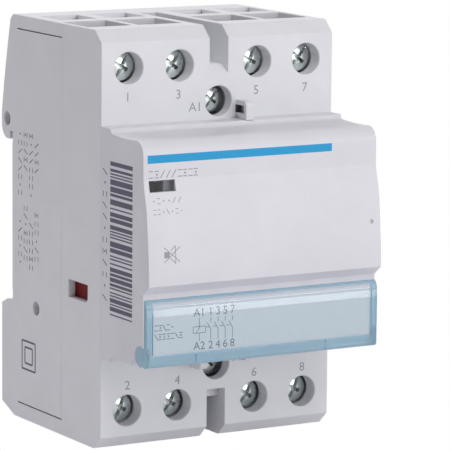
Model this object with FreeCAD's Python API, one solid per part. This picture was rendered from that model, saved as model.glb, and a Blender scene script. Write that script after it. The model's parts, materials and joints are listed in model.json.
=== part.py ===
"""DIN rail contactor: four poles, three modules wide, with a hinged clear label flap.

Frame in millimetres: +X to the right, -Y towards the user, +Z up. The origin lies on the flat seat
that touches the 35 mm rail, at the middle of the rail. Depths in front of the rail are negative Y.
"""

import FreeCAD, Part
import math
import os

# ---- outside of the housing
width = 53.6
height = 84.8
side_x = width / 2
end_z = height / 2
wall = 1.6
inner_x = side_x - wall
seam_y = -22.5
shoulder_y = -39.3
chamfer_y = 2.8
chamfer_z = 2.5
back_y = 4.9
back_wall_y = -2.2
past = 1.0
overlap = 0.3

# ---- rail seat, fixed hook and rear profile
seat_half = 15.5
seat_relief = 0.15
hook_lip_z = 16.15
hook_groove_z = 17.85
hook_groove_y = 1.2
hook_tip_y = 2.7
hook_round = ((4.3, 17.3), (back_y, 19.0))
hook_top_z = 21.5
upper_back = ((2.9, 32.5), (0.8, 41.4))
upper_back_y = -0.4
lower_edge_z = -17.6
lower_edge_lean = 0.35
lower_block_z = -19.1
back_chamfer = (-0.8, 2.2)
magnet_room_z = 24.6
coring_y = -17.1
coring_gap = 0.4
groove_wide = 0.26
groove_deep = 0.4
upper_groove = (-2.3, 39.55)
lower_groove = (-2.6, -39.2)
aux_bore_r = 1.5
aux_bore_long = 4.0
aux_bores = ((2.4, 20.3), (-10.9, -17.95))
aux_boss_r = 2.7

# ---- rail latch
latch_half_x = 8.0
latch_rib_half_x = 5.4
latch_plate_y = (1.0, 3.4)
latch_rib_y = (3.4, 4.7)
latch_low_z = -41.6
latch_neck_z = -20.0
latch_tip_z = -15.8
latch_travel = 4.5
latch_gap = 0.1
latch_drop_gap = 0.3
latch_channel_top_z = -14.6
latch_tip_round_z = -18.6
latch_tip_round = ((4.2, -17.2), (3.0, -16.2))
latch_tip_flat_y = 2.4
latch_spring_z = (-38.0, -26.0)
latch_spring_y = 1.1
latch_spring_r = 1.2
latch_spring_wire_r = 0.22
latch_spring_turns = 7
latch_pocket_half_x = 1.7
latch_pocket_y = (-0.5, 2.7)
pry_slot_z = (-40.4, -39.2)
pry_slot_half_x = 3.2
pry_slot_floor_y = 2.9

# ---- nose: the raised middle of the front
lip_z = 23.4
lip_y = -43.2
lip_round = 0.3
lip_flat_z = 22.9
nose_top_z = 22.3
nose_cove = ((-43.5, 22.55), (-44.2, 22.4))
nose_top_dip = ((-48.0, 22.2), (-53.4, nose_top_z))
nose_brow = ((-55.8, 21.5), (-56.65, 19.6))
nose_fold = (-56.7, 14.8)
nose_low_z = -22.45
nose_step_y = -43.6
front_y = -59.2
front_sweep = ((-57.0, 13.2), (-57.75, 10.4), (-58.25, 7.4), (-58.65, 3.5), (-59.0, -0.4), (front_y, -5.9))
frame_y = -56.9
frame_top_z = -7.65
frame_low_z = -18.8
nose_inner_y = -55.3
nose_inner_z = 20.9
nose_inner_round_y = -53.2
nose_inner_round = ((-54.7, 20.4), (-55.2, 19.0))
nose_inner_low = ((nose_inner_y, -18.0), (-53.9, -19.4), (-52.0, -nose_inner_z))
dimple = (24.7, 3.4)
dimple_r = 0.45
dimple_floor_y = -58.3
rib_half = 0.6
rib_y = (-54.9, -40.2)
upper_rib_z = (8.2, 21.2)
lower_rib_z = (-21.2, -5.5)

# ---- label flap and its hinge
flap_front_y = -58.2
flap_back_y = -57.0
flap_top_z = -8.8
flap_edge = (-57.0, -9.5)
flap_edge_top_y = -56.95
flap_top_round = (-57.68, -9.3)
flap_bend_z = -10.7
flap_facet_z = -12.1
flap_facet_lean = 0.12
flap_rim_z = -19.9
flap_low_z = -22.35
flap_low_r = 0.85
flap_half_x = side_x - 0.12
rim_line = 0.35
side_line_x = side_x - 1.5
line_half = 0.1
lip_x = (-15.6, 14.5)
lip_proud = 0.25
thumb_lip_z = (-21.4, -20.35)
lip_notch_half = 0.1
lip_notch_z = (-22.45, -20.1)
hinge_y = -55.7
hinge_z = -20.3
ear_r = 2.05
ear_thick = 1.2
ear_gap = 0.2
ear_web_half_z = 1.4
ear_web_middle_z = -20.5
hinge_pin_r = 0.8
hinge_pin_gap = 0.05
hinge_pin_long = 2.7
hinge_corner_r = 1.15
flap_sweep_r = 3.15
card_half_x = side_x - wall
card_z = (-19.7, -10.5)
card_y = (-56.98, -56.91)

# ---- terminals: four poles in a row at the top and the bottom, one coil terminal inside each row
inner_pole_x = 9.05
pole_pitch = 11.55
pole_xs = (-inner_pole_x - pole_pitch, -inner_pole_x, inner_pole_x, inner_pole_x + pole_pitch)
chamber_back_y = -18.6
entry_y = (-31.5, -20.0)
entry_low_z = 39.0
coil_entry_half_x = 2.1
coil_entry_y = (-26.0, -21.0)
coil_entry_low_z = 30.0
pocket_y = (-16.3, -7.4)
pocket_floor_z = 41.2
pocket_inset = 1.6
cage_y = (-29.1, -18.9)
cage_front_wall = 1.6
cage_rear_wall = 1.4
cage_corner_r = 0.7
bar_thick = 1.2
bar_front_y = -27.4
bar_back_y = bar_front_y + bar_thick
head_tall = 1.7
dome_tall = 0.55
thread_gap = 0.05
thread_deep = 0.6
dome_middle = (0.62, 0.31)
slot_half = 0.42
slot_deep = 1.05
cross_arm_half = 0.4
cross_steps = ((1.75, 1.2), (1.15, 1.45))
hole_edge = 0.15

POLE = {
    "z": 34.7,
    "hole_r": 3.225,
    "head_front_y": -36.15,
    "head_r": 2.92,
    "thread_r": 2.5,
    "pitch": 0.8,
    "drive": 1.0,
    "chamber_front_y": -35.9,
    "chamber_half_x": 5.05,
    "chamber_z": (29.7, 40.2),
    "coring_z": (24.0, 38.6),
    "cage_half_x": 4.75,
    "cage_z": (30.6, 39.0),
    "cage_side_wall": 1.1,
    "bar_half_x": 3.5,
    "bar_z": (28.1, 39.4),
}
COIL = {
    "z": 27.1,
    "hole_r": 3.1,
    "head_front_y": -36.3,
    "head_r": 2.65,
    "thread_r": 1.75,
    "pitch": 0.6,
    "drive": 0.8,
    "chamber_front_y": -36.6,
    "chamber_half_x": 3.9,
    "chamber_z": (23.6, 30.7),
    "coring_z": (24.0, 32.6),
    "cage_half_x": 3.5,
    "cage_z": (23.9, 30.3),
    "cage_side_wall": 0.9,
    "bar_half_x": 2.4,
    "bar_z": (21.6, 30.5),
}
# How far each screw's slot happens to stand from upright, in degrees, for terminals 1 to 8.
slot_angles = (28, 22, 38, 30, 24, 33, 41, 26)
coil_slot_angles = (35, 48)

# ---- centre slots over the coil terminals, and the sealing lugs beside them
slot_half_x = 2.15
slot_floor_z = 34.3
slot_back_y = -9.5
slot_front_y = -36.4
ramp_run = 2.1
ramp_drop = 1.5
step_z = -32.2
lug_x = (4.2, 6.0)
lug_reach = 4.0
lug_top_z = 27.15
lug_round = 1.2
lug_root_y = shoulder_y + overlap
eye_x = (4.0, 5.5)
eye_y = (-42.3, -38.4)
eye_z = (24.6, 26.2)

# ---- contact system
arm_front_y = -37.7
arm_end_z = 8.5
channel_half_x = 3.7
channel_front_y = -38.0
channel_z = (20.0, 29.8)
coil_channel_half_x = 2.6
coil_channel_y = -28.5
coil_channel_z = (20.0, 24.0)
tip_thick = 1.0
tip_r = 2.3
tip_z = 11.0
contact_gap = 3.0
overtravel = 1.0
stroke = contact_gap + overtravel
touch_gap = 0.02
bridge_thick = 1.5
bridge_half_x = 3.0
bridge_half_z = 13.5
fixed_tip_y = arm_front_y - tip_thick
bridge_tip_y = fixed_tip_y - contact_gap - touch_gap
bridge_back_y = bridge_tip_y - tip_thick
bridge_front_y = bridge_back_y - bridge_thick
contact_spring_r = 1.9
contact_spring_wire_r = 0.3
contact_spring_turns = 5
contact_spring_gap = 0.05
button_r = 1.0
button_tall = 1.2

# ---- carrier that joins the moving core to the bridges
carrier_half_x = 24.4
carrier_half_z = 4.2
carrier_base_y = (-32.0, -28.05)
carrier_base_half_z = 9.0
carrier_seat_y = bridge_back_y + touch_gap
carrier_seat_thick = 2.0
carrier_window_y = -51.0
carrier_window_half_x = 3.4
carrier_front_y = -53.0
carrier_opening_half_x = 3.9
carrier_opening_back_y = -33.5
driver_x = (-inner_x + 0.1, -21.4)
driver_y = (-33.6, -24.9)
driver_z = (-13.8, -8.6)
driver_window_y = (-33.8, -25.4)
driver_window_z = (-13.1, -9.4)
driver_window_r = 1.2

# ---- magnet
core_half_z = 8.0
centre_limb_half_x = 5.0
outer_limb_x = (14.2, 19.2)
fixed_yoke_y = (-8.0, -3.45)
fixed_limb_y = -17.5
moving_yoke_y = (-27.9, -23.6)
moving_limb_y = -21.55
pad_half_x = 18.0
pad_half_z = 7.0
pad_gap = 0.03
bobbin_wall = 1.0
bobbin_gap = 0.2
front_flange_y = (-18.6, -17.6)
rear_flange_y = (-9.1, -8.1)
flange_half_x = 13.6
flange_half_z = 15.5
winding_gap = 0.05
winding_inset = 0.4
winding_corner_r = 3.0
return_spring_x = 22.3
return_spring_y = (-28.0, -10.0)
return_spring_r = 1.5
return_spring_wire_r = 0.25
return_spring_turns = 9
post_r = 2.2
post_pin_r = 0.9
post_pin_long = 4.0

# ---- contact position indicator
window_x = (-25.6, -19.8)
window_z = (12.4, 14.65)
window_bar_x = -21.7
window_gap = 0.05
lens_y = (-56.45, -55.75)
lens_flange_y = (-56.2, -55.4)
lens_flange = (3.2, 1.425)
lens_seat_gap = 0.1
flag_travel = 3.9
flag_y = (-55.1, -54.3)
flag_z = (11.9, 15.0)
flag_stem_half_x = 1.1
flag_stem_low_z = 7.5
flag_foot_z = 8.7
flag_pin = (-19.75, -50.2)
flag_pin_r = 0.7
flag_pin_low_z = 5.6
flag_slot_gap = 0.12
flag_foot_reach = 1.0
flag_room_x = (-25.8, -25.0)
flag_room_y = (nose_inner_y, -53.3)
flag_room_z = (11.6, 15.1)
ear_plate_x = (-24.4, -16.8)
ear_plate_y = (-52.6, -45.8)
ear_plate_z = (6.0, 7.2)
ear_web_y = -51.4
track_x = (-25.4, -15.6)
track_z = (15.15, 15.95)
track_lip_z = 14.2
track_y = (-55.6, -53.5)
track_lip_y = -54.1

# ---- rectifier board and coil strips
board_half_x = 15.0
board_y = (-20.2, -4.0)
board_z = (18.8, 20.2)
upper_strip_back_y = -18.6
lower_strip_back_y = -14.0
strip_tab_half_x = 1.2
upper_tab_end_z = 20.25
lower_tab_end_z = -15.9

# ---- parts soldered on the board: places in X and Y, half sizes, radii and heights
chip_at = (-9.0, -11.0)
chip_half = 3.0
chip_tall = 2.4
capacitor_at = (9.5, -9.0)
capacitor_r = 2.6
capacitor_tall = 3.8
resistor_y = -16.5
resistor_x = (-10.0, -4.0)
resistor_r = 1.0
resistor_lift = 0.9
varistor_at = (4.0, -11.5)
varistor_half = (1.0, 3.5)
varistor_tall = 3.6
solder_sink = 0.1


# ---- small shape helpers
def block(xs, ys, zs):
    """Box between two X, two Y and two Z values, given in any order."""
    lows = [min(pair) for pair in (xs, ys, zs)]
    sizes = [abs(pair[1] - pair[0]) for pair in (xs, ys, zs)]
    return Part.makeBox(*sizes, FreeCAD.Vector(*lows))


def about(middle, half):
    """The two ends of a span that reaches half to each side of middle."""
    return middle - half, middle + half


def flipped(span, sign):
    """A span of Z above the middle for sign +1, or its mirror image below for sign -1."""
    return span[0] * sign, span[1] * sign


def rod(axis, centre, radius, start, end):
    """Cylinder along X, Y or Z; centre holds the two other coordinates in X, Y, Z order."""
    base = list(centre)
    base.insert("xyz".index(axis), min(start, end))
    direction = [float(axis == letter) for letter in "xyz"]
    return Part.makeCylinder(radius, abs(end - start), FreeCAD.Vector(*base), FreeCAD.Vector(*direction))


def side_section(start, steps, xs):
    """Solid between two X planes. Its side outline runs from start through steps of (y, z).

    One point is a straight line, a pair is an arc (through, end), a longer tuple is a smooth curve.
    """
    def corner(point):
        return FreeCAD.Vector(min(xs), *point)

    edges = []
    here = start
    for step in list(steps) + [start]:
        if not isinstance(step[0], tuple):
            if step != here:
                edges.append(Part.makeLine(corner(here), corner(step)))
            here = step
            continue
        if len(step) == 2:
            edges.append(Part.Arc(corner(here), corner(step[0]), corner(step[1])).toShape())
        else:
            curve = Part.BSplineCurve()
            curve.interpolate([corner(here)] + [corner(point) for point in step])
            edges.append(curve.toShape())
        here = step[-1]
    face = Part.Face(Part.Wire(edges))
    return face.extrude(FreeCAD.Vector(abs(xs[1] - xs[0]), 0, 0))


def joined(shapes):
    """One clean solid made from shapes that touch or overlap."""
    return shapes[0].fuse(shapes[1:]).removeSplitter()


def carved(shape, cutters):
    """The shape less all the cutters."""
    return shape.cut(cutters).removeSplitter()


def turned_over(shape):
    """The shape after half a turn about the Y axis."""
    shape.rotate(FreeCAD.Vector(0, 0, 0), FreeCAD.Vector(0, 1, 0), 180)
    return shape


def spring(start, axis, length, mean_r, wire_r, turns):
    """Open compression spring that begins at start and runs along axis."""
    pitch = (length - 2 * wire_r) / turns
    path = Part.makeHelix(pitch, pitch * turns, mean_r)
    tangent = FreeCAD.Vector(0, 2 * math.pi * mean_r, pitch)
    ring = Part.makeCircle(wire_r, FreeCAD.Vector(mean_r, 0, 0), tangent)
    coil = Part.Wire(path).makePipeShell([Part.Wire(ring)], True, True)
    coil.translate(FreeCAD.Vector(0, 0, wire_r))
    turn = FreeCAD.Rotation(FreeCAD.Vector(0, 0, 1), FreeCAD.Vector(*axis))
    coil.Placement = FreeCAD.Placement(FreeCAD.Vector(*start), turn).multiply(coil.Placement)
    return coil


# ---- rear shell
def rear_housing():
    """Back shell: rail seat, fixed hook, latch channel and the rear half of every chamber."""
    chamfer_in_y, chamfer_up = back_chamfer
    outline = [
        (chamfer_in_y, -end_z),
        (back_y, -end_z + chamfer_up),
        (back_y, lower_block_z),
        (back_y / 2, lower_edge_z - lower_edge_lean),
        (-seat_relief, lower_edge_z),
        (-seat_relief, -seat_half),
        (0.0, -seat_half),
        (0.0, seat_half),
        (-seat_relief, seat_half),
        (-seat_relief, hook_groove_z),
        (hook_groove_y, hook_groove_z),
        (hook_groove_y, hook_lip_z),
        (hook_tip_y, hook_lip_z),
        hook_round,
        (back_y, hook_top_z),
        upper_back,
        (upper_back_y, end_z),
        (seam_y, end_z),
    ]
    shell = side_section((seam_y, -end_z), outline, (-side_x, side_x))
    cutters = [block(about(0, inner_x), (seam_y, back_wall_y), about(0, magnet_room_z))]
    for sign in (1, -1):
        cutters += rear_end_cutters(sign)
    cutters += latch_channel() + side_grooves()
    low_y, low_z = aux_bores[1]
    boss = rod("x", (low_y, low_z), aux_boss_r, -side_x + wall / 2, -side_x + aux_bore_long)
    posts = [spring_post(x) for x in (-return_spring_x, return_spring_x)]
    shell = joined([carved(shell, cutters), boss] + posts)
    bores = [rod("x", place, aux_bore_r, -side_x - past, -side_x + aux_bore_long) for place in aux_bores]
    return carved(shell, bores)


def rear_end_cutters(sign):
    """Chambers, cored-out backs, entry windows and blind pockets at one end of the rear shell."""
    outside = end_z + past
    half = POLE["chamber_half_x"]
    cutters = []
    for x in pole_xs:
        cutters += [
            block(about(x, half), (seam_y, entry_y[1]), flipped((entry_low_z, outside), sign)),
            block((x - half + pocket_inset, x + half), pocket_y, flipped((pocket_floor_z, outside), sign)),
        ]
    for x, kind in [(x, POLE) for x in pole_xs] + [(0.0, COIL)]:
        half = kind["chamber_half_x"]
        cored = about(x, half - coring_gap)
        cutters += [
            block(about(x, half), (seam_y, chamber_back_y), flipped(kind["chamber_z"], sign)),
            block(cored, (coring_y, back_wall_y), flipped(kind["coring_z"], sign)),
        ]
    coil_entry_z = flipped((coil_entry_low_z, slot_floor_z + past), sign)
    cutters += [
        block(about(0, slot_half_x), (seam_y, slot_back_y), flipped((slot_floor_z, outside), sign)),
        block(about(0, coil_entry_half_x), (seam_y, coil_entry_y[1]), coil_entry_z),
    ]
    return cutters


def latch_channel():
    """T-shaped channel for the latch, open at the rail and at the bottom, with its spring pocket."""
    plate_y, rib_back_y = latch_plate_y, back_y + past
    wide = about(0, latch_half_x + latch_gap)
    narrow = about(0, latch_rib_half_x + latch_gap)
    top_z = latch_channel_top_z
    tip_low_z = latch_neck_z - latch_drop_gap - latch_travel
    return [
        block(wide, (plate_y[0] - latch_gap, plate_y[1] + latch_gap), (-end_z - past, top_z)),
        block(narrow, (plate_y[1], rib_back_y), (-end_z - past, top_z)),
        block(wide, (plate_y[0] - latch_gap, rib_back_y), (tip_low_z, top_z)),
        block(about(0, latch_pocket_half_x), (latch_pocket_y[0], plate_y[0]), latch_spring_z),
    ]


def side_grooves():
    """Thin seam grooves in both sides of the rear shell."""
    grooves = []
    for side in (-1, 1):
        xs = (side * (side_x - groove_deep), side * (side_x + past))
        for start_y, z in (upper_groove, lower_groove):
            grooves.append(block(xs, (seam_y, start_y), about(z, groove_wide / 2)))
    return grooves


def spring_post(x):
    """Post that carries one return spring and centres it with a pin."""
    seat_y = return_spring_y[1] + touch_gap
    seat = rod("y", (x, 0), post_r, back_wall_y + past, seat_y)
    pin = rod("y", (x, 0), post_pin_r, back_wall_y, seat_y - post_pin_long)
    return joined([seat, pin])


# ---- terminal shell
def front_housing():
    """Terminal shell: entry windows, screwdriver holes, partitions and the open middle."""
    outline = [
        (shoulder_y + chamfer_y, -end_z),
        (shoulder_y, -end_z + chamfer_z),
        (shoulder_y, end_z - chamfer_z),
        (shoulder_y + chamfer_y, end_z),
        (seam_y, end_z),
    ]
    shell = side_section((seam_y, -end_z), outline, (-side_x, side_x))
    cutters = [block(about(0, inner_x), (shoulder_y - past, seam_y), about(0, nose_inner_z))]
    for sign in (1, -1):
        cutters += front_end_cutters(sign)
    cutters += [driver_window(), top_slot_ramp(), bottom_slot_step()]
    shell = joined([carved(shell, cutters), sealing_lug(), turned_over(sealing_lug())])
    return carved(shell, [lug_eye(), turned_over(lug_eye())])


def front_end_cutters(sign):
    """Everything that opens one end of the terminal shell."""
    outside = end_z + past
    cutters = []
    for x in pole_xs:
        half = POLE["chamber_half_x"]
        cutters += [
            block(about(x, half), (entry_y[0], seam_y), flipped((entry_low_z, outside), sign)),
            block(about(x, channel_half_x), (channel_front_y, seam_y), flipped(channel_z, sign)),
        ]
    for x, kind in [(x, POLE) for x in pole_xs] + [(0.0, COIL)]:
        half = kind["chamber_half_x"]
        ys = (kind["chamber_front_y"], seam_y)
        cutters.append(block(about(x, half), ys, flipped(kind["chamber_z"], sign)))
        cutters += access_hole(x, sign, kind)
    coil_entry_z = flipped((coil_entry_low_z, slot_floor_z + past), sign)
    cutters += [
        block(about(0, coil_channel_half_x), (coil_channel_y, seam_y), flipped(coil_channel_z, sign)),
        block(about(0, slot_half_x), (slot_front_y, seam_y), flipped((slot_floor_z, outside), sign)),
        block(about(0, coil_entry_half_x), (coil_entry_y[0], seam_y), coil_entry_z),
    ]
    return cutters


def access_hole(x, sign, kind):
    """Screwdriver hole from the front face into a chamber, with a small broken edge."""
    z = kind["z"] * sign
    radius = kind["hole_r"]
    mouth_at = FreeCAD.Vector(x, shoulder_y, z)
    mouth = Part.makeCone(radius + hole_edge, radius, hole_edge, mouth_at, FreeCAD.Vector(0, 1, 0))
    return [rod("y", (x, z), radius, shoulder_y - past, kind["chamber_front_y"] + past / 10), mouth]


def driver_window():
    """Opening in the left side through which an add-on block picks up the carrier's movement."""
    opening = block((-side_x - past, -inner_x + past), driver_window_y, driver_window_z)
    corner = FreeCAD.Vector(-side_x, driver_window_y[0], driver_window_z[0])
    low_front = [edge for edge in opening.Edges if edge.distToShape(Part.Vertex(corner))[0] < 0.01]
    return opening.makeFillet(driver_window_r, low_front)


def top_slot_ramp():
    """Front of the top centre slot, whose floor runs down to the shoulder face."""
    beyond = shoulder_y - past
    beyond_z = slot_floor_z - ramp_drop * (ramp_run + past) / ramp_run
    steps = [
        (slot_front_y, slot_floor_z),
        (shoulder_y + ramp_run, slot_floor_z),
        (beyond, beyond_z),
        (beyond, end_z + past),
    ]
    return side_section((slot_front_y, end_z + past), steps, about(0, slot_half_x))


def bottom_slot_step():
    """Front of the bottom centre slot, a shallow recess that starts a little higher."""
    return block(about(0, slot_half_x), (shoulder_y - past, slot_front_y), (-end_z - past, step_z))


def sealing_lug():
    """Small lug with a rounded top beside the upper coil terminal."""
    tip_y = shoulder_y - lug_reach
    bend = lug_round * (1 - math.sqrt(0.5))
    steps = [
        (tip_y, lip_z),
        (tip_y, lug_top_z - lug_round),
        ((tip_y + bend, lug_top_z - bend), (tip_y + lug_round, lug_top_z)),
        (lug_root_y, lug_top_z),
    ]
    return side_section((lug_root_y, lip_z), steps, lug_x)


def lug_eye():
    """Square eye sunk into the side of a sealing lug; it runs back into the housing's front wall."""
    return block(eye_x, eye_y, eye_z)


# ---- nose
def nose_block():
    """Solid block with the nose's outer side profile."""
    bend = hinge_corner_r * math.sqrt(0.5)
    lip_bend = lip_round * (1 - math.sqrt(0.5))
    steps = [
        (lip_y + lip_round, lip_z),
        ((lip_y + lip_bend, lip_z - lip_bend), (lip_y, lip_z - lip_round)),
        (lip_y, lip_flat_z),
        nose_cove,
        nose_top_dip,
        nose_brow,
        nose_fold,
        front_sweep,
        (frame_y, frame_top_z),
        (frame_y, frame_low_z),
        (hinge_y - hinge_corner_r, hinge_z),
        ((hinge_y - bend, hinge_z - bend), (hinge_y, hinge_z - hinge_corner_r)),
        (hinge_y + flap_sweep_r, hinge_z - hinge_corner_r),
        (hinge_y + flap_sweep_r, nose_low_z),
        (nose_step_y, nose_low_z),
        (nose_step_y, -lip_z),
        (shoulder_y, -lip_z),
    ]
    return side_section((shoulder_y, lip_z), steps, (-side_x, side_x))


def nose_hollow():
    """Space inside the nose, open towards the terminal shell."""
    steps = [
        (nose_inner_round_y, nose_inner_z),
        nose_inner_round,
        *nose_inner_low,
        (shoulder_y + past, -nose_inner_z),
    ]
    return side_section((shoulder_y + past, nose_inner_z), steps, (-inner_x, inner_x))


def nose_cover():
    """Front cover over the contact chambers, with the indicator window and the flap's hinge."""
    outside = front_y - past
    middle_x = sum(window_x) / 2
    middle_z = sum(lens_seat_z()) / 2
    seat_x = about(middle_x, lens_flange[0] + lens_seat_gap)
    seat_z = about(middle_z, lens_flange[1] + lens_seat_gap)
    cutters = [
        nose_hollow(),
        block(window_x, (outside, flag_y[1]), window_z),
        block(seat_x, (lens_flange_y[0] - lens_seat_gap, flag_y[0]), seat_z),
        block(flag_room_x, flag_room_y, flag_room_z),
        rod("y", dimple, dimple_r, outside, dimple_floor_y),
    ]
    for side in (-1, 1):
        ear_room = (side * (side_x - ear_thick - latch_gap), side * (side_x + past))
        pin_room = (side * (side_x - hinge_pin_long - latch_gap), side * side_x)
        cutters.append(rod("x", (hinge_y, hinge_z), ear_r + ear_gap, *ear_room))
        cutters.append(rod("x", (hinge_y, hinge_z), hinge_pin_r + hinge_pin_gap, *pin_room))
    return joined([carved(nose_block(), cutters)] + arc_barriers() + flag_track())


def lens_seat_z():
    """Lower and upper edge of the window pane's flange."""
    return about(sum(window_z) / 2, lens_flange[1])


def arc_barriers():
    """Barriers between neighbouring poles, above and below the carrier."""
    gaps = [(left + right) / 2 for left, right in zip(pole_xs, pole_xs[1:])]
    return [block(about(x, rib_half), rib_y, zs) for x in gaps for zs in (upper_rib_z, lower_rib_z)]


def flag_track():
    """Hooked ledge inside the nose that keeps the indicator flag in line."""
    return [
        block(track_x, track_y, track_z),
        block(track_x, (track_lip_y, track_y[1]), (track_lip_z, track_z[1])),
    ]


# ---- indicator and label
def window_lens():
    """Clear pane pushed from inside into the indicator window."""
    plug_x = (window_x[0] + window_gap, window_x[1] - window_gap)
    plug_z = (window_z[0] + window_gap, window_z[1] - window_gap)
    flange_x = about(sum(window_x) / 2, lens_flange[0])
    return joined([block(plug_x, lens_y, plug_z), block(flange_x, lens_flange_y, lens_seat_z())])


def indicator_flag():
    """Sliding flag: a vane behind the window, a stem and a pin that runs in the carrier's slot."""
    pin_x, pin_y = flag_pin
    stem_x = about(pin_x, flag_stem_half_x)
    vane = block((window_bar_x, window_bar_x + flag_travel), flag_y, flag_z)
    stem = block(stem_x, flag_y, (flag_stem_low_z, flag_z[0] + overlap))
    foot = block(stem_x, (flag_y[1], pin_y + flag_foot_reach), (flag_stem_low_z, flag_foot_z))
    pin = rod("z", flag_pin, flag_pin_r, flag_pin_low_z, flag_foot_z - overlap)
    return joined([vane, stem, foot, pin])


def label_flap():
    """Clear hinged flap: pane with a sloped top edge, grooved lower rim with a thumb lip, two ears."""
    xs = about(0, flap_half_x)
    bend = flap_low_r * (1 - math.sqrt(0.5))
    pane_steps = [
        flap_edge,
        (flap_edge_top_y, flap_top_z),
        (flap_top_round, (flap_front_y + flap_facet_lean, flap_bend_z)),
        (flap_front_y, flap_facet_z),
        (flap_front_y, flap_rim_z - overlap),
    ]
    rim_steps = [
        (flap_front_y, flap_rim_z),
        (flap_front_y, flap_low_z + flap_low_r),
        ((flap_front_y + bend, flap_low_z + bend), (flap_front_y + flap_low_r, flap_low_z)),
        (flap_back_y, flap_low_z),
    ]
    pane = side_section((flap_back_y, flap_rim_z - overlap), pane_steps, xs)
    rim = side_section((flap_back_y, flap_rim_z), rim_steps, xs)
    line_y = (flap_front_y - overlap, flap_front_y + rim_line)
    lines = [block(about(0, side_line_x + line_half), line_y, about(flap_rim_z, line_half))]
    for x in (-side_line_x, side_line_x):
        lines.append(block(about(x, line_half), line_y, (flap_rim_z, flap_top_z)))
    end_y = (flap_front_y - past, flap_front_y + rim_line)
    ends = [block(about(x, lip_notch_half), end_y, lip_notch_z) for x in lip_x]
    thumb_x = (lip_x[0] + lip_notch_half, lip_x[1] - lip_notch_half)
    thumb_y = (flap_front_y - lip_proud, flap_front_y + overlap)
    thumb_lip = block(thumb_x, thumb_y, thumb_lip_z)
    ears = [flap_ear(side) for side in (-1, 1)]
    return carved(joined([pane, rim, thumb_lip] + ears), lines + ends)


def flap_ear(side):
    """One hinge ear of the flap with its pin, which points into the nose."""
    outer = side * flap_half_x
    inner = side * (side_x - ear_thick)
    disc = rod("x", (hinge_y, hinge_z), ear_r, inner, outer)
    web_z = about(ear_web_middle_z, ear_web_half_z)
    web = block((inner, outer), (flap_back_y - overlap, hinge_y - hinge_pin_r), web_z)
    pin = rod("x", (hinge_y, hinge_z), hinge_pin_r, side * (side_x - hinge_pin_long), outer)
    return joined([disc, web, pin])


def label_card():
    """Printed card held between the flap and the nose."""
    return block(about(0, card_half_x), card_y, card_z)


# ---- latch
def din_latch():
    """Sliding latch: tip behind the rail's lower edge, T-shaped body, slot for a screwdriver."""
    tip_back_y = latch_rib_y[1]
    tip_low_z = latch_neck_z - latch_gap
    tip_steps = [
        (tip_back_y, tip_low_z),
        (tip_back_y, latch_tip_round_z),
        latch_tip_round,
        (latch_tip_flat_y, latch_tip_z),
        (hook_groove_y, latch_tip_z),
    ]
    tip = side_section((hook_groove_y, tip_low_z), tip_steps, about(0, latch_half_x))
    plate = block(about(0, latch_half_x), latch_plate_y, (latch_low_z, latch_neck_z))
    rib = block(about(0, latch_rib_half_x), latch_rib_y, (latch_low_z, latch_neck_z))
    pocket = block(about(0, latch_pocket_half_x), (0, latch_pocket_y[1]), latch_spring_z)
    pry_slot = block(about(0, pry_slot_half_x), (pry_slot_floor_y, back_y + past), pry_slot_z)
    return carved(joined([plate, rib, tip]), [pocket, pry_slot])


def latch_spring():
    """Compression spring that pushes the latch up against the rail."""
    low, high = latch_spring_z
    start = (0, latch_spring_y, low + latch_gap)
    wire_r, turns = latch_spring_wire_r, latch_spring_turns
    return spring(start, (0, 0, 1), high - low - 2 * latch_gap, latch_spring_r, wire_r, turns)


# ---- terminals
def terminal_screw(x, sign, kind, slot_angle):
    """Captive clamp screw: domed head with a slot and a cross, and a threaded shank."""
    head_r, thread_r, pitch = kind["head_r"], kind["thread_r"], kind["pitch"]
    head_front_y = kind["head_front_y"]
    core_r = thread_r - thread_deep * pitch
    head_back_y = head_front_y + head_tall
    tip_y = bar_front_y - thread_gap
    profile = [(head_r, head_front_y + dome_tall), (head_r, head_back_y), (core_r, head_back_y)]
    y = head_back_y + pitch / 3
    while y + pitch < tip_y - pitch / 4:
        profile += [(core_r, y), (thread_r, y + pitch / 2)]
        y += pitch
    profile += [(core_r, y), (core_r, tip_y), (0, tip_y)]
    points = [FreeCAD.Vector(radius, along, 0) for radius, along in profile]
    top = FreeCAD.Vector(0, head_front_y, 0)
    bulge = FreeCAD.Vector(dome_middle[0] * head_r, head_front_y + dome_middle[1] * dome_tall, 0)
    dome = Part.Arc(top, bulge, points[0]).toShape()
    sides = [Part.makeLine(a, b) for a, b in zip(points, points[1:] + [top])]
    half = Part.Face(Part.Wire([dome] + sides))
    body = half.revolve(FreeCAD.Vector(0, 0, 0), FreeCAD.Vector(0, 1, 0), 360)
    screw = carved(body, screw_drive(kind["drive"], head_r, head_front_y))
    screw.rotate(FreeCAD.Vector(0, 0, 0), FreeCAD.Vector(0, 1, 0), slot_angle)
    screw.translate(FreeCAD.Vector(x, 0, kind["z"] * sign))
    return screw


def screw_drive(scale, head_r, head_front_y):
    """Straight slot across the head, and a cross that narrows as it goes deeper."""
    slot_y = (head_front_y - past, head_front_y + slot_deep * scale)
    cutters = [block(about(0, slot_half * scale), slot_y, about(0, head_r + past))]
    for reach, deep in cross_steps:
        ys = (head_front_y - past, head_front_y + deep * scale)
        long_way = about(0, reach * scale)
        short_way = about(0, cross_arm_half * scale)
        cutters += [block(long_way, ys, short_way), block(short_way, ys, long_way)]
    return cutters


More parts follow.
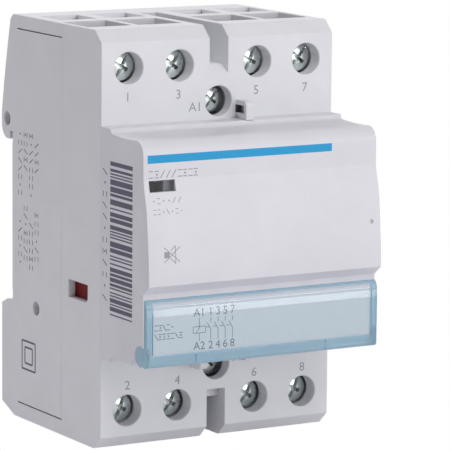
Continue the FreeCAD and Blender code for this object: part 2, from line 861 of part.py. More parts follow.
def terminal_cage(x, sign, kind):
    """Box clamp, shown fully open, that the screw pulls forwards to press the wire on the bar."""
    zs = flipped(kind["cage_z"], sign)
    half = kind["cage_half_x"]
    front_y, rear_y = cage_y
    outside = block(about(x, half), cage_y, zs)
    corners = [edge for edge in outside.Edges if edge.BoundBox.ZLength > past]
    outside = outside.makeFillet(cage_corner_r, corners)
    hollow_y = (front_y + cage_front_wall, rear_y - cage_rear_wall)
    hollow = block(about(x, half - kind["cage_side_wall"]), hollow_y, (zs[0] - sign, zs[1] + sign))
    bore_r = kind["thread_r"] + thread_gap
    bore = rod("y", (x, kind["z"] * sign), bore_r, front_y - past, hollow_y[0] + past)
    return carved(outside, [hollow, bore])


def contact_bar(x, sign):
    """Bent copper bar from a clamp's tongue, forwards and inwards to a fixed contact."""
    xs = about(x, POLE["bar_half_x"])
    leg_low_z, tongue_end_z = POLE["bar_z"]
    leg_z = (leg_low_z, leg_low_z + bar_thick)
    tongue = block(xs, (bar_front_y, bar_back_y), flipped((leg_low_z, tongue_end_z), sign))
    leg = block(xs, (arm_front_y, bar_back_y), flipped(leg_z, sign))
    arm = block(xs, (arm_front_y, arm_front_y + bar_thick), flipped((arm_end_z, leg_z[1]), sign))
    return joined([tongue, leg, arm])


def fixed_contact_tips():
    """Silver contact buttons on all eight fixed bars."""
    places = [(x, sign * tip_z) for sign in (1, -1) for x in pole_xs]
    return Part.Compound([rod("y", place, tip_r, fixed_tip_y, arm_front_y) for place in places])


def coil_bar(sign):
    """Strip from a coil clamp to the magnet: the upper one ends on the board, the lower at the coil."""
    xs = about(0, COIL["bar_half_x"])
    leg_low_z, tongue_end_z = COIL["bar_z"]
    leg_z = flipped((leg_low_z, leg_low_z + bar_thick), sign)
    leg_back_y = upper_strip_back_y if sign > 0 else lower_strip_back_y
    tab_end_z = upper_tab_end_z if sign > 0 else lower_tab_end_z
    tongue = block(xs, (bar_front_y, bar_back_y), flipped((leg_low_z, tongue_end_z), sign))
    leg = block(xs, (bar_front_y, leg_back_y), leg_z)
    tab = block(about(0, strip_tab_half_x), (leg_back_y - bar_thick, leg_back_y), (tab_end_z, leg_z[1]))
    return joined([tongue, leg, tab])


# ---- moving contacts
def bridge(x):
    """Springy copper bridge with a low button that centres the contact spring."""
    plate = block(about(x, bridge_half_x), (bridge_front_y, bridge_back_y), about(0, bridge_half_z))
    button = rod("y", (x, 0), button_r, bridge_front_y - button_tall, bridge_back_y - overlap)
    return joined([plate, button])


def bridge_tips(x):
    """The pair of silver contact buttons on one bridge."""
    return Part.Compound([rod("y", (x, z), tip_r, bridge_back_y, bridge_tip_y) for z in (-tip_z, tip_z)])


def contact_spring(x):
    """Spring that presses one bridge on its fixed contacts."""
    start_y = bridge_front_y - contact_spring_gap
    length = start_y - carrier_window_y - contact_spring_gap
    wire_r, turns = contact_spring_wire_r, contact_spring_turns
    return spring((x, start_y, 0), (0, -1, 0), length, contact_spring_r, wire_r, turns)


def contact_carrier():
    """Carrier that pushes all four bridges, with a base on the moving core and a side driver."""
    frame_ys = (carrier_front_y, carrier_base_y[0] + overlap)
    ear_web_z = (carrier_half_z - overlap, ear_plate_z[1])
    seat_back_y = carrier_seat_y + carrier_seat_thick
    through = about(0, carrier_half_z + past)
    solids = [
        block(about(0, carrier_half_x), frame_ys, about(0, carrier_half_z)),
        block(about(0, carrier_half_x), carrier_base_y, about(0, carrier_base_half_z)),
        block(driver_x, driver_y, driver_z),
        block(ear_plate_x, ear_plate_y, ear_plate_z),
        block(ear_plate_x, (ear_plate_y[0], ear_web_y), ear_web_z),
    ]
    cutters = [flag_slot()]
    for x in pole_xs:
        window = about(x, carrier_window_half_x)
        opening = about(x, carrier_opening_half_x)
        cutters.append(block(window, (carrier_window_y, carrier_seat_y), through))
        cutters.append(block(opening, (seat_back_y, carrier_opening_back_y), through))
    return carved(joined(solids), cutters)


def flag_slot():
    """Sloping slot that turns the carrier's stroke into the flag's sideways travel."""
    radius = flag_pin_r + flag_slot_gap
    start = FreeCAD.Vector(*flag_pin, ear_plate_z[0] - past)
    end = start + FreeCAD.Vector(-flag_travel, -stroke, 0)
    along = (end - start).normalize() * radius
    across = FreeCAD.Vector(-along.y, along.x, 0)
    outline = Part.Wire([
        Part.makeLine(start + across, end + across),
        Part.Arc(end + across, end + along, end - across).toShape(),
        Part.makeLine(end - across, start - across),
        Part.Arc(start - across, start - along, start + across).toShape(),
    ])
    return Part.Face(outline).extrude(FreeCAD.Vector(0, 0, 3 * past))


# ---- magnet
def e_core(yoke_y, limb_y):
    """E-shaped core: a yoke with a centre limb and two outer limbs that reach to limb_y."""
    near_limb_y = min(yoke_y, key=lambda y: abs(y - limb_y))
    zs = about(0, core_half_z)
    inner, outer = outer_limb_x
    solids = [
        block(about(0, outer), yoke_y, zs),
        block(about(0, centre_limb_half_x), (near_limb_y, limb_y), zs),
        block((-outer, -inner), (near_limb_y, limb_y), zs),
        block((inner, outer), (near_limb_y, limb_y), zs),
    ]
    return joined(solids)


def core_pad():
    """Rubber pad that takes the knock of the magnet."""
    pad_y = (fixed_yoke_y[1] + pad_gap, back_wall_y - pad_gap)
    return block(about(0, pad_half_x), pad_y, about(0, pad_half_z))


def coil_bobbin():
    """Bobbin round the centre limb, with a flange at each end."""
    front_y, rear_y = front_flange_y[0], rear_flange_y[1]
    bore_x = centre_limb_half_x + bobbin_gap
    bore_z = core_half_z + bobbin_gap
    tube = block(about(0, bore_x + bobbin_wall), (front_y, rear_y), about(0, bore_z + bobbin_wall))
    flanges = [
        block(about(0, flange_half_x), ys, about(0, flange_half_z))
        for ys in (front_flange_y, rear_flange_y)
    ]
    bore = block(about(0, bore_x), (front_y - past, rear_y + past), about(0, bore_z))
    return carved(joined([tube] + flanges), [bore])


def coil_winding():
    """Enamelled wire wound on the bobbin, as one body with rounded corners."""
    ys = (front_flange_y[1] + winding_gap, rear_flange_y[0] - winding_gap)
    half_x = flange_half_x - winding_inset
    half_z = flange_half_z - winding_inset
    outside = block(about(0, half_x), ys, about(0, half_z))
    outside = outside.makeFillet(winding_corner_r, [e for e in outside.Edges if is_along_y(e)])
    tube_x = centre_limb_half_x + bobbin_gap + bobbin_wall + winding_gap
    tube_z = core_half_z + bobbin_gap + bobbin_wall + winding_gap
    tube = block(about(0, tube_x), (ys[0] - past, ys[1] + past), about(0, tube_z))
    return carved(outside, [tube])


def is_along_y(edge):
    """True for an edge that runs along Y."""
    box = edge.BoundBox
    return box.YLength > past and box.XLength < 0.01 and box.ZLength < 0.01


def return_springs():
    """The two springs that push the carrier forwards when the coil is off."""
    front, back = return_spring_y
    wire_r, turns = return_spring_wire_r, return_spring_turns
    return Part.Compound([
        spring((x, back, 0), (0, -1, 0), back - front, return_spring_r, wire_r, turns)
        for x in (-return_spring_x, return_spring_x)
    ])


def rectifier_board():
    """Small circuit board above the coil that feeds it with direct current, with its parts."""
    top = board_z[1]
    foot = top - solder_sink
    chip_x, chip_y = [about(middle, chip_half) for middle in chip_at]
    varistor_x, varistor_y = [about(*pair) for pair in zip(varistor_at, varistor_half)]
    solids = [
        block(about(0, board_half_x), board_y, board_z),
        block(chip_x, chip_y, (foot, top + chip_tall)),
        rod("z", capacitor_at, capacitor_r, foot, top + capacitor_tall),
        rod("x", (resistor_y, top + resistor_lift), resistor_r, *resistor_x),
        block(varistor_x, varistor_y, (foot, top + varistor_tall)),
    ]
    return joined(solids)


# ---- writing the parts
def shared_parts():
    """Every node that the contactor has once."""
    return {
        "rear_housing": rear_housing(),
        "front_housing": front_housing(),
        "nose_cover": nose_cover(),
        "label_flap": label_flap(),
        "label_card": label_card(),
        "window_lens": window_lens(),
        "indicator_flag": indicator_flag(),
        "din_latch": din_latch(),
        "latch_spring": latch_spring(),
        "fixed_contact_tips": fixed_contact_tips(),
        "contact_carrier": contact_carrier(),
        "moving_core": e_core(moving_yoke_y, moving_limb_y),
        "fixed_core": e_core(fixed_yoke_y, fixed_limb_y),
        "core_pad": core_pad(),
        "coil_bobbin": coil_bobbin(),
        "coil_winding": coil_winding(),
        "return_springs": return_springs(),
        "rectifier_board": rectifier_board(),
    }


def pole_parts():
    """The screws, clamps, bars, bridges and springs of the four poles; odd terminals are on top."""
    parts = {}
    for pole, x in enumerate(pole_xs, start=1):
        for number, sign in ((2 * pole - 1, 1), (2 * pole, -1)):
            parts[f"terminal_screw_{number}"] = terminal_screw(x, sign, POLE, slot_angles[number - 1])
            parts[f"terminal_cage_{number}"] = terminal_cage(x, sign, POLE)
            parts[f"contact_bar_{number}"] = contact_bar(x, sign)
        parts[f"bridge_{pole}"] = bridge(x)
        parts[f"bridge_tips_{pole}"] = bridge_tips(x)
        parts[f"contact_spring_{pole}"] = contact_spring(x)
    return parts


def coil_terminal_parts():
    """The screw, clamp and strip of coil terminal A1 on top and A2 below."""
    parts = {}
    for name, sign, angle in zip(("a1", "a2"), (1, -1), coil_slot_angles):
        parts[f"coil_screw_{name}"] = terminal_screw(0.0, sign, COIL, angle)
        parts[f"coil_cage_{name}"] = terminal_cage(0.0, sign, COIL)
        parts[f"coil_bar_{name}"] = coil_bar(sign)
    return parts


os.makedirs("parts", exist_ok=True)
for node, shape in {**shared_parts(), **pole_parts(), **coil_terminal_parts()}.items():
    shape.exportStep(f"parts/{node}.step")
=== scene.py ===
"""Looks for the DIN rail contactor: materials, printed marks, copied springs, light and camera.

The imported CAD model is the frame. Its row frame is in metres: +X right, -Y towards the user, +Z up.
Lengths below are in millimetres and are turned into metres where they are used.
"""

import json
import math
import random

import bmesh
import bpy
from mathutils import Matrix, Vector
from mathutils.bvhtree import BVHTree


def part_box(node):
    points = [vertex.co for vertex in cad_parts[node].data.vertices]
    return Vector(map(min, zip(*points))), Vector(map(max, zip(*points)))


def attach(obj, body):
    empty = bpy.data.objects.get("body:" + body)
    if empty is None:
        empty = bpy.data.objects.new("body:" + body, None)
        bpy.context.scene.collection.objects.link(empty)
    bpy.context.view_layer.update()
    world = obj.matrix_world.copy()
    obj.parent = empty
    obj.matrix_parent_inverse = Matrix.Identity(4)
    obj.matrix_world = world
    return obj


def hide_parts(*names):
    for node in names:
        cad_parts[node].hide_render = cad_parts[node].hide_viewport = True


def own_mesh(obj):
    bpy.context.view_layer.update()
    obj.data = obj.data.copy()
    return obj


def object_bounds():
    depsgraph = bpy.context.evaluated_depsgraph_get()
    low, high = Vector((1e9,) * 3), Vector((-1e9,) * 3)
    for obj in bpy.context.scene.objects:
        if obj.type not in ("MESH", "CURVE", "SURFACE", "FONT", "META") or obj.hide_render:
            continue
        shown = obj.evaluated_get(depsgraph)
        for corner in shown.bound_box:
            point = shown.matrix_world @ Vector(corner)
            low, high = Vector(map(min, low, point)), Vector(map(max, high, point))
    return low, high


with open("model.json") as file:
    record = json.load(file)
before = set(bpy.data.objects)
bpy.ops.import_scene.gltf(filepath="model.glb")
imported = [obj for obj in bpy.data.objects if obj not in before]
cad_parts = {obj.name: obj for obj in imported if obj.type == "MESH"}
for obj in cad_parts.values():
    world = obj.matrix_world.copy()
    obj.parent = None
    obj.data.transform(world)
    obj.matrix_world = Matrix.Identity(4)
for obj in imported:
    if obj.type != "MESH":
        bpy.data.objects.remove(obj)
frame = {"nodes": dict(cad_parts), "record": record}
cad_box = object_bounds()

MM = 0.001
seed = 7

# ---- camera, worked out for the photograph's angle
camera_azimuth = -30.24
camera_elevation = 9.06
camera_roll = 0.55
camera_distance = 677.9
camera_target = (1.8, -39.3, 1.6)
camera_lens = 266.6

# ---- room and light
floor_gap = 6.0
floor_size = 4000.0
world_white = 1.0
world_fill = 0.315
world_gloss = 0.75
fill_tint = (0.99, 0.985, 1.03, 1.0)
key_place = (430.0, -880.0, 210.0)
key_size = 620.0
key_power = 2.35
strip_place = (503.0, -864.0, 4.0)
strip_size = 160.0
strip_power = 0.34
front_place = (0.0, -380.0, 420.0)
front_size = 300.0
front_power = 0.95
top_place = (-60.0, 500.0, 500.0)
top_size = 450.0
top_power = 2.6

# ---- surfaces: the spark-eroded grain, the flap's solid border and the faces of the bare board
grain_size = 0.16
flap_border_side = 1.4
flap_border_low = 2.35
flap_border_top = 0.55
board_low = 18.8
board_high = 20.2

# ---- prints: how far ink stands proud of a surface and how deep it reaches in
ink_proud = 0.012
ink_sunk = 0.03
stroke_length = 0.9
thin_line = 0.13
merge_within = 0.002

# ---- marks that stand for letters, as shares of their height
mark_line = 0.13
mark_wide = 0.62
mark_level = 0.42
mark_dot = (0.3, 0.7)

# ---- marks on the front; rows on the nose are (in from its left edge, height, length, mark height)
figure_tall = 1.9
stripe_across = (0.95, 43.1)
stripe_up = (18.05, 19.65)
type_row = (1.2, 15.85, 11.8, 1.5)
rating_rows = ((1.5, 10.75, 7.0, 1.15), (1.5, 8.65, 7.4, 1.05))
sign_in = 5.3
sign_up = 0.2
sign_half = 1.75
sign_line = 0.16
sign_box_right = -0.55
sign_box_half = 0.6
sign_throat = -0.35
sign_throat_half = 0.7
sign_mouth = 0.75
sign_cross_half = 1.5
upper_figure_shift = (-0.25, -5.85)
lower_figure_rise = 5.1
coil_a1_shift = (-5.35, -1.0)
coil_a2_shift = (5.5, 1.1)

# ---- wiring diagram on the card, measured from the card's lower left corner and from its rows of figures
card_figure_tall = 1.65
card_top_figures = 7.55
card_low_figures = 0.85
card_words_in = 0.7
card_words_tall = 1.2
card_rows = ((2.3, 5.0), (4.1, 6.4))
coil_in = 10.8
coil_half = 1.4
coil_top = 2.75
coil_bottom = 4.05
coil_bar_across = (-0.7, 0.2)
figure_clear = 1.1
first_pole_out = 2.6
pole_pitch = 1.65
contact_top = 2.1
contact_bottom = 3.5
contact_lean = 0.85
link_drop = 3.0
link_start = 1.6
link_pitch = 1.5
link_dash = 0.8

# ---- marks on the left side
code_across = (43.2, 52.4)
code_up = (-13.6, 17.0)
code_bars = (0.28, 0.3, 0.55, 0.85, 1.1)
code_gaps = (0.3, 0.34, 0.6)
column_start = (-15.2, 41.0)
column_long = 28.6
column_tall = 1.7
side_rows_start = (-18.3, 3.6)
side_row_pitch = 2.5
side_mark_tall = 1.6
side_row_groups = (
    ((0.0, 13.7), (18.4, 9.6)),
    ((0.0, 8.7), (15.4, 11.6)),
    ((0.0, 13.9), (18.7, 10.6)),
    ((1.7, 8.0), (16.2, 11.9)),
)
square_middle = (7.5, -28.6)
square_halves = (3.0, 1.7)
square_line = 0.4

pole_count = 4
housing = "housing"
shell_nodes = ("rear_housing", "front_housing", "nose_cover")


def box_mm(node):
    """Lowest and highest corner of a CAD node in millimetres."""
    low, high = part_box(node)
    return low / MM, high / MM


nose_low, nose_high = box_mm("nose_cover")
card_low, card_high = box_mm("label_card")
flap_low, flap_high = box_mm("label_flap")


def middle_of(node):
    """Middle of a CAD node's box in millimetres."""
    low, high = box_mm(node)
    return (low + high) / 2


# ---- node graph helpers
def srgb(red, green, blue):
    """A colour given as 0 to 255 screen values, as linear light with full alpha."""
    def linear(value):
        share = value / 255
        return share / 12.92 if share <= 0.04045 else ((share + 0.055) / 1.055) ** 2.4

    return linear(red), linear(green), linear(blue), 1.0


def shaded(colour, factor):
    """The colour made lighter or darker."""
    return tuple(min(1.0, channel * factor) for channel in colour[:3]) + (1.0,)


class Graph:
    """The node tree of one material."""

    def __init__(self, name):
        self.material = bpy.data.materials.new(name)
        self.material.use_nodes = True
        self.tree = self.material.node_tree
        self.tree.nodes.clear()
        self.place = self.add("TexCoord").outputs["Object"]

    def add(self, kind, inputs=None, **settings):
        """Adds a node; inputs are values or other nodes' sockets, settings are its properties."""
        new = self.tree.nodes.new("ShaderNode" + kind)
        for key, value in settings.items():
            setattr(new, key, value)
        for key, value in (inputs or {}).items():
            if isinstance(value, bpy.types.NodeSocket):
                self.tree.links.new(value, new.inputs[key])
            else:
                new.inputs[key].default_value = value
        return new

    def math(self, operation, *values):
        """Result of a maths node."""
        return self.add("Math", dict(enumerate(values)), operation=operation).outputs[0]

    def noise(self, size, detail=3.0, where=None, distortion=0.0):
        """Noise whose features are about size millimetres across."""
        inputs = {
            "Vector": where or self.place,
            "Scale": 1 / (size * MM),
            "Detail": detail,
            "Distortion": distortion,
        }
        return self.add("TexNoise", inputs).outputs["Fac"]

    def ramp(self, factor, stops):
        """Colour that runs through stops of (position, colour)."""
        ramp = self.add("ValToRGB", {"Fac": factor})
        elements = ramp.color_ramp.elements
        while len(elements) < len(stops):
            elements.new(0.5)
        for element, (position, colour) in zip(elements, stops):
            element.position = position
            element.color = colour
        return ramp.outputs["Color"]

    def span(self, factor, low, high):
        """The factor's 0 to 1 moved to low to high."""
        return self.add("MapRange", {"Value": factor, "To Min": low, "To Max": high}).outputs["Result"]

    def mix(self, factor, first, second):
        """Colour mixed from two colours or sockets."""
        return self.add("Mix", {0: factor, 6: first, 7: second}, data_type="RGBA").outputs[2]

    def stretched(self, scale):
        """Object coordinates scaled along each axis."""
        return self.add("Mapping", {"Vector": self.place, "Scale": scale}).outputs["Vector"]

    def soft_edges(self, radius):
        """Normal that rounds sharp edges by radius millimetres."""
        return self.add("Bevel", {"Radius": radius * MM}, samples=6).outputs["Normal"]

    def edge_mask(self, rounded):
        """About 0 on flats and rising towards 1 where an edge is rounded."""
        flat = self.add("NewGeometry").outputs["Normal"]
        agree = self.add("VectorMath", {0: rounded, 1: flat}, operation="DOT_PRODUCT").outputs["Value"]
        return self.math("MINIMUM", self.math("MULTIPLY", self.math("SUBTRACT", 1.0, agree), 5.0), 1.0)

    def painted_gap_shade(self, colour, reach, floor=0.06):
        """Painted shade: the colour, falling towards black in narrow gaps that little light gets into."""
        open_sky = self.add("AmbientOcclusion", {"Distance": reach * MM}, samples=8).outputs["AO"]
        level = self.ramp(open_sky, [(0.12, (floor, floor, floor, 1.0)), (0.5, (1.0, 1.0, 1.0, 1.0))])
        inputs = {0: 1.0, 6: colour, 7: level}
        return self.add("Mix", inputs, data_type="RGBA", blend_type="MULTIPLY").outputs[2]

    def bump(self, height, strength, depth, normal=None):
        """Normal shaken by a height between 0 and 1 that stands for depth millimetres."""
        inputs = {"Height": height, "Strength": strength, "Distance": depth * MM}
        if normal is not None:
            inputs["Normal"] = normal
        return self.add("Bump", inputs).outputs["Normal"]

    def finish(self, inputs):
        """Ends the graph in a Principled surface and returns the material."""
        surface = self.add("BsdfPrincipled", inputs).outputs["BSDF"]
        return self.output(surface)

    def output(self, surface):
        """Wires a surface to the output and returns the material."""
        self.add("OutputMaterial", {"Surface": surface})
        return self.material


# ---- materials
def moulded(name, colour, roughness=0.42, edge=0.22, mottle=0.03, specular=0.42, soft=0.0, gap=2.0):
    """Injection-moulded plastic: spark-eroded grain, faint flow mottling, rounded and paler edges, and
    painted shade in narrow gaps unless gap is 0.
    """
    graph = Graph(name)
    rounded = graph.soft_edges(edge)
    flow = graph.noise(9.0, 4.0, distortion=0.6)
    tone = graph.ramp(flow, [(0.25, shaded(colour, 1 - mottle)), (0.75, shaded(colour, 1 + mottle))])
    worn = graph.edge_mask(rounded)
    tone = graph.mix(graph.math("MULTIPLY", worn, 0.35), tone, shaded(colour, 1.08))
    fine = graph.noise(grain_size, 2.0)
    coarse = graph.noise(grain_size * 2.6, 2.0)
    height = graph.math("ADD", graph.math("MULTIPLY", fine, 0.65), graph.math("MULTIPLY", coarse, 0.35))
    handled = graph.noise(22.0, 3.0)
    # painted shade: the colour darkens in narrow gaps, up to gap millimetres deep
    if gap:
        tone = graph.painted_gap_shade(tone, gap)
    inputs = {
        "Base Color": tone,
        "Roughness": graph.span(handled, roughness - 0.05, roughness + 0.07),
        "Specular IOR Level": specular,
        "Normal": graph.bump(height, 0.16, 0.02, rounded),
    }
    if soft:
        inputs["Subsurface Weight"] = soft
        inputs["Subsurface Radius"] = (1.0 * MM, 0.9 * MM, 0.8 * MM)
        inputs["Subsurface Scale"] = 1.0
    return graph.finish(inputs)


def plated(
    name, colour, roughness=0.28, edge=0.12, streak=(1.0, 1.0, 1.0), tarnish=0.25, rings=False, marks=0.22
):
    """Plated or bare metal strip: drawn streaks, cloudy plating, brighter worn edges and painted shade in
    narrow gaps.
    """
    graph = Graph(name)
    rounded = graph.soft_edges(edge)
    cloud = graph.noise(2.4, 5.0, distortion=0.8)
    tone = graph.ramp(cloud, [(0.3, shaded(colour, 1 - tarnish)), (0.7, shaded(colour, 1.06))])
    tone = graph.mix(graph.math("MULTIPLY", graph.edge_mask(rounded), 0.5), tone, shaded(colour, 1.3))
    # painted shade: the colour darkens in narrow gaps
    tone = graph.painted_gap_shade(tone, 1.2)
    streaks = graph.noise(0.35, 3.0, where=graph.stretched(streak))
    if rings:
        streaks = turned_rings(graph)
    inputs = {
        "Base Color": tone,
        "Metallic": 1.0,
        "Roughness": graph.span(cloud, roughness - 0.08, roughness + 0.12),
        "Normal": graph.bump(streaks, marks, 0.012, rounded),
    }
    return graph.finish(inputs)


def turned_rings(graph):
    """Fine rings round a screw's own axis, which runs along Y through the middle of its box."""
    own = graph.add("TexCoord").outputs["Generated"]
    centred = graph.add("VectorMath", {0: own, 1: (0.5, 0.0, 0.5)}, operation="SUBTRACT").outputs[0]
    across = graph.add("VectorMath", {0: centred, 1: (1.0, 0.0, 1.0)}, operation="MULTIPLY").outputs[0]
    radius = graph.add("VectorMath", {0: across}, operation="LENGTH").outputs["Value"]
    wave = graph.math("SINE", graph.math("MULTIPLY", radius, 190.0))
    return graph.span(graph.math("MULTIPLY", wave, 0.5), 0.2, 0.8)


def clear(name, tint, depth_tint, inside=None):
    """Clear moulded plastic: refracts for the eye, lets light through to what lies behind it.

    Beyond the pane inside, given as its half width, lower and upper height, it is solid and looks deeper.
    """
    graph = Graph(name)
    ripple = graph.noise(6.0, 2.0)
    normal = graph.bump(ripple, 0.02, 0.2)
    rim = graph.add("LayerWeight", {"Blend": 0.35, "Normal": normal}).outputs["Facing"]
    solid = 0.0
    if inside:
        half_width, lower, upper = inside
        axes = graph.add("SeparateXYZ", {"Vector": graph.place})
        aside = graph.math("GREATER_THAN", graph.math("ABSOLUTE", axes.outputs["X"]), half_width * MM)
        below = graph.math("LESS_THAN", axes.outputs["Z"], lower * MM)
        above = graph.math("GREATER_THAN", axes.outputs["Z"], upper * MM)
        solid = graph.math("MAXIMUM", graph.math("MAXIMUM", aside, below), above)
        rim = graph.math("MAXIMUM", rim, solid)
    colour = graph.mix(rim, tint, depth_tint)
    glass = graph.add(
        "BsdfPrincipled",
        {
            "Base Color": colour,
            "Transmission Weight": 1.0,
            "IOR": 1.49,
            "Roughness": graph.span(graph.noise(3.0, 3.0), 0.03, 0.08),
            "Normal": normal,
        },
    ).outputs["BSDF"]
    sawn = graph.add("BsdfDiffuse", {"Color": depth_tint}).outputs["BSDF"]
    facing = graph.add("SeparateXYZ", {"Vector": graph.add("NewGeometry").outputs["Normal"]}).outputs["X"]
    end_face = graph.math("MULTIPLY", graph.math("GREATER_THAN", graph.math("ABSOLUTE", facing), 0.5), 0.7)
    milky = graph.math("MAXIMUM", end_face, graph.math("MULTIPLY", solid, 0.33))
    body = graph.add("MixShader", {0: milky, 1: glass, 2: sawn}).outputs[0]
    through = graph.add("BsdfTransparent", {"Color": tint}).outputs["BSDF"]
    ray = graph.add("LightPath")
    unseen = graph.math("MAXIMUM", ray.outputs["Is Shadow Ray"], ray.outputs["Is Diffuse Ray"])
    return graph.output(graph.add("MixShader", {0: unseen, 1: body, 2: through}).outputs[0])


def printed_ink(name, colour, cover=0.08):
    """Pad-printed ink: uneven cover and a slightly dull, dry surface."""
    graph = Graph(name)
    patch = graph.noise(0.4, 4.0)
    tone = graph.ramp(patch, [(0.3, shaded(colour, 1 - cover)), (0.7, shaded(colour, 1 + cover))])
    inputs = {
        "Base Color": tone,
        "Roughness": graph.span(patch, 0.42, 0.6),
        "Specular IOR Level": 0.35,
        "Normal": graph.bump(graph.noise(0.12, 2.0), 0.15, 0.01),
    }
    return graph.finish(inputs)


def paper(name, colour):
    """Coated label card with a faint fibre."""
    graph = Graph(name)
    fibre = graph.noise(0.5, 5.0, where=graph.stretched((0.35, 1.0, 1.6)))
    tone = graph.ramp(fibre, [(0.3, shaded(colour, 0.96)), (0.7, shaded(colour, 1.03))])
    return graph.finish({"Base Color": tone, "Roughness": 0.55, "Normal": graph.bump(fibre, 0.1, 0.01)})


def stacked_sheets(name, colour, sheet):
    """Laminated magnet steel: thin sheets stacked along Z with dark lines between them."""
    graph = Graph(name)
    up = graph.add("SeparateXYZ", {"Vector": graph.place}).outputs["Z"]
    wave = graph.math("SINE", graph.math("MULTIPLY", up, 2 * math.pi / (sheet * MM)))
    level = graph.span(wave, 0.3, 1.0)
    stain = graph.noise(3.0, 5.0)
    tone = graph.ramp(stain, [(0.3, shaded(colour, 0.75)), (0.7, shaded(colour, 1.1))])
    tone = graph.mix(level, shaded(colour, 0.35), tone)
    inputs = {
        "Base Color": tone,
        "Metallic": 0.85,
        "Roughness": graph.span(stain, 0.38, 0.58),
        "Normal": graph.bump(level, 0.4, 0.05),
    }
    return graph.finish(inputs)


def wound_wire(name, colour, wire):
    """Enamelled copper winding: turns of wire side by side along Y."""
    graph = Graph(name)
    axes = graph.add("SeparateXYZ", {"Vector": graph.place})
    wave = graph.math("SINE", graph.math("MULTIPLY", axes.outputs["Y"], 2 * math.pi / (wire * MM)))
    level = graph.span(wave, 0.2, 1.0)
    uneven = graph.noise(1.5, 4.0)
    tone = graph.ramp(uneven, [(0.3, shaded(colour, 0.8)), (0.7, shaded(colour, 1.15))])
    tone = graph.mix(level, shaded(colour, 0.3), tone)
    inputs = {
        "Base Color": tone,
        "Metallic": 0.7,
        "Roughness": 0.3,
        "Coat Weight": 0.6,
        "Coat Roughness": 0.15,
        "Normal": graph.bump(level, 0.6, 0.08),
    }
    return graph.finish(inputs)


def circuit_board(name, mask_colour, part_colour):
    """Solder mask with pads on the board's own faces, and dark component bodies beyond them."""
    graph = Graph(name)
    up = graph.add("SeparateXYZ", {"Vector": graph.place}).outputs["Z"]
    above = graph.math("GREATER_THAN", up, (board_high + 0.05) * MM)
    below = graph.math("LESS_THAN", up, (board_low - 0.05) * MM)
    beyond = graph.math("MAXIMUM", above, below)
    cells = graph.add("TexVoronoi", {"Vector": graph.place, "Scale": 1 / (1.8 * MM)}).outputs["Distance"]
    stops = [(0.28, srgb(196, 200, 196)), (0.34, mask_colour), (0.6, shaded(mask_colour, 1.4))]
    tracks = graph.ramp(cells, stops)
    rounded = graph.soft_edges(0.15)
    inputs = {
        "Base Color": graph.mix(beyond, tracks, part_colour),
        "Roughness": graph.span(graph.noise(2.0, 3.0), 0.25, 0.45),
        "Normal": graph.bump(graph.noise(0.3, 2.0), 0.1, 0.02, rounded),
    }
    return graph.finish(inputs)


def rubber(name, colour):
    """Matt rubber sheet."""
    graph = Graph(name)
    grain = graph.noise(0.4, 4.0)
    tone = graph.ramp(grain, [(0.3, shaded(colour, 0.8)), (0.7, shaded(colour, 1.3))])
    return graph.finish({"Base Color": tone, "Roughness": 0.85, "Normal": graph.bump(grain, 0.4, 0.05)})


def make_materials():
    """One finished material for each material slot of the record."""
    flap_pane = (flap_high.x - flap_border_side, flap_low.z + flap_border_low, flap_high.z - flap_border_top)
    deep_blue = srgb(176, 207, 221)
    bright_zinc = srgb(224, 231, 229)
    return {
        # gap is how far painted shade reaches into narrow gaps; 0 paints none
        "housing_plastic": moulded("housing_plastic", srgb(226, 226, 230), soft=0.05),
        "cover_plastic": moulded("cover_plastic", srgb(222, 221, 227), roughness=0.38, soft=0.05, gap=0.0),
        "clear_blue_plastic": clear("clear_blue_plastic", srgb(246, 249, 251), deep_blue, flap_pane),
        "clear_plastic": clear("clear_plastic", srgb(246, 247, 248), srgb(214, 220, 224)),
        "card": paper("card", srgb(219, 224, 228)),
        "flag_plastic": moulded("flag_plastic", srgb(150, 150, 156), roughness=0.5, gap=0.0),
        "latch_plastic": moulded("latch_plastic", srgb(196, 197, 203), roughness=0.36),
        "spring_steel": plated("spring_steel", srgb(196, 198, 202), 0.25, 0.03, (1.0, 1.0, 6.0)),
        "zinc_screw": plated("zinc_screw", bright_zinc, 0.27, 0.06, tarnish=0.1, rings=True, marks=0.08),
        "zinc_cage": plated("zinc_cage", srgb(196, 200, 198), 0.34, 0.15, (6.0, 1.0, 1.0)),
        "copper_alloy": plated("copper_alloy", srgb(208, 150, 118), 0.3, 0.1, (1.0, 1.0, 0.2)),
        "silver": plated("silver", srgb(226, 224, 218), 0.3, 0.12, tarnish=0.15),
        "red_plastic": moulded("red_plastic", srgb(120, 10, 18), roughness=0.5, mottle=0.14, specular=0.2),
        "core_steel": stacked_sheets("core_steel", srgb(120, 122, 126), 0.5),
        "pad_rubber": rubber("pad_rubber", srgb(34, 34, 35)),
        "bobbin_plastic": moulded("bobbin_plastic", srgb(52, 52, 55), roughness=0.45, mottle=0.1),
        "winding_copper": wound_wire("winding_copper", srgb(186, 96, 48), 0.25),
        "board": circuit_board("board", srgb(16, 92, 52), srgb(30, 30, 32)),
        "dark_ink": printed_ink("dark_ink", srgb(92, 90, 108)),
        "grey_ink": printed_ink("grey_ink", srgb(158, 158, 166)),
        "card_ink": printed_ink("card_ink", srgb(112, 122, 130)),
        "blue_ink": printed_ink("blue_ink", srgb(36, 158, 212), cover=0.03),
    }


def dress_cad_nodes(materials):
    """Gives every CAD node the finished material of its record slot."""
    slots = {row["node"]: row["material_slot"] for row in frame["record"]["subparts"]}
    for name, cad_object in frame["nodes"].items():
        finished = materials[slots[name]]
        if not cad_object.material_slots:
            cad_object.data.materials.append(finished)
        for material_slot in cad_object.material_slots:
            material_slot.material = finished


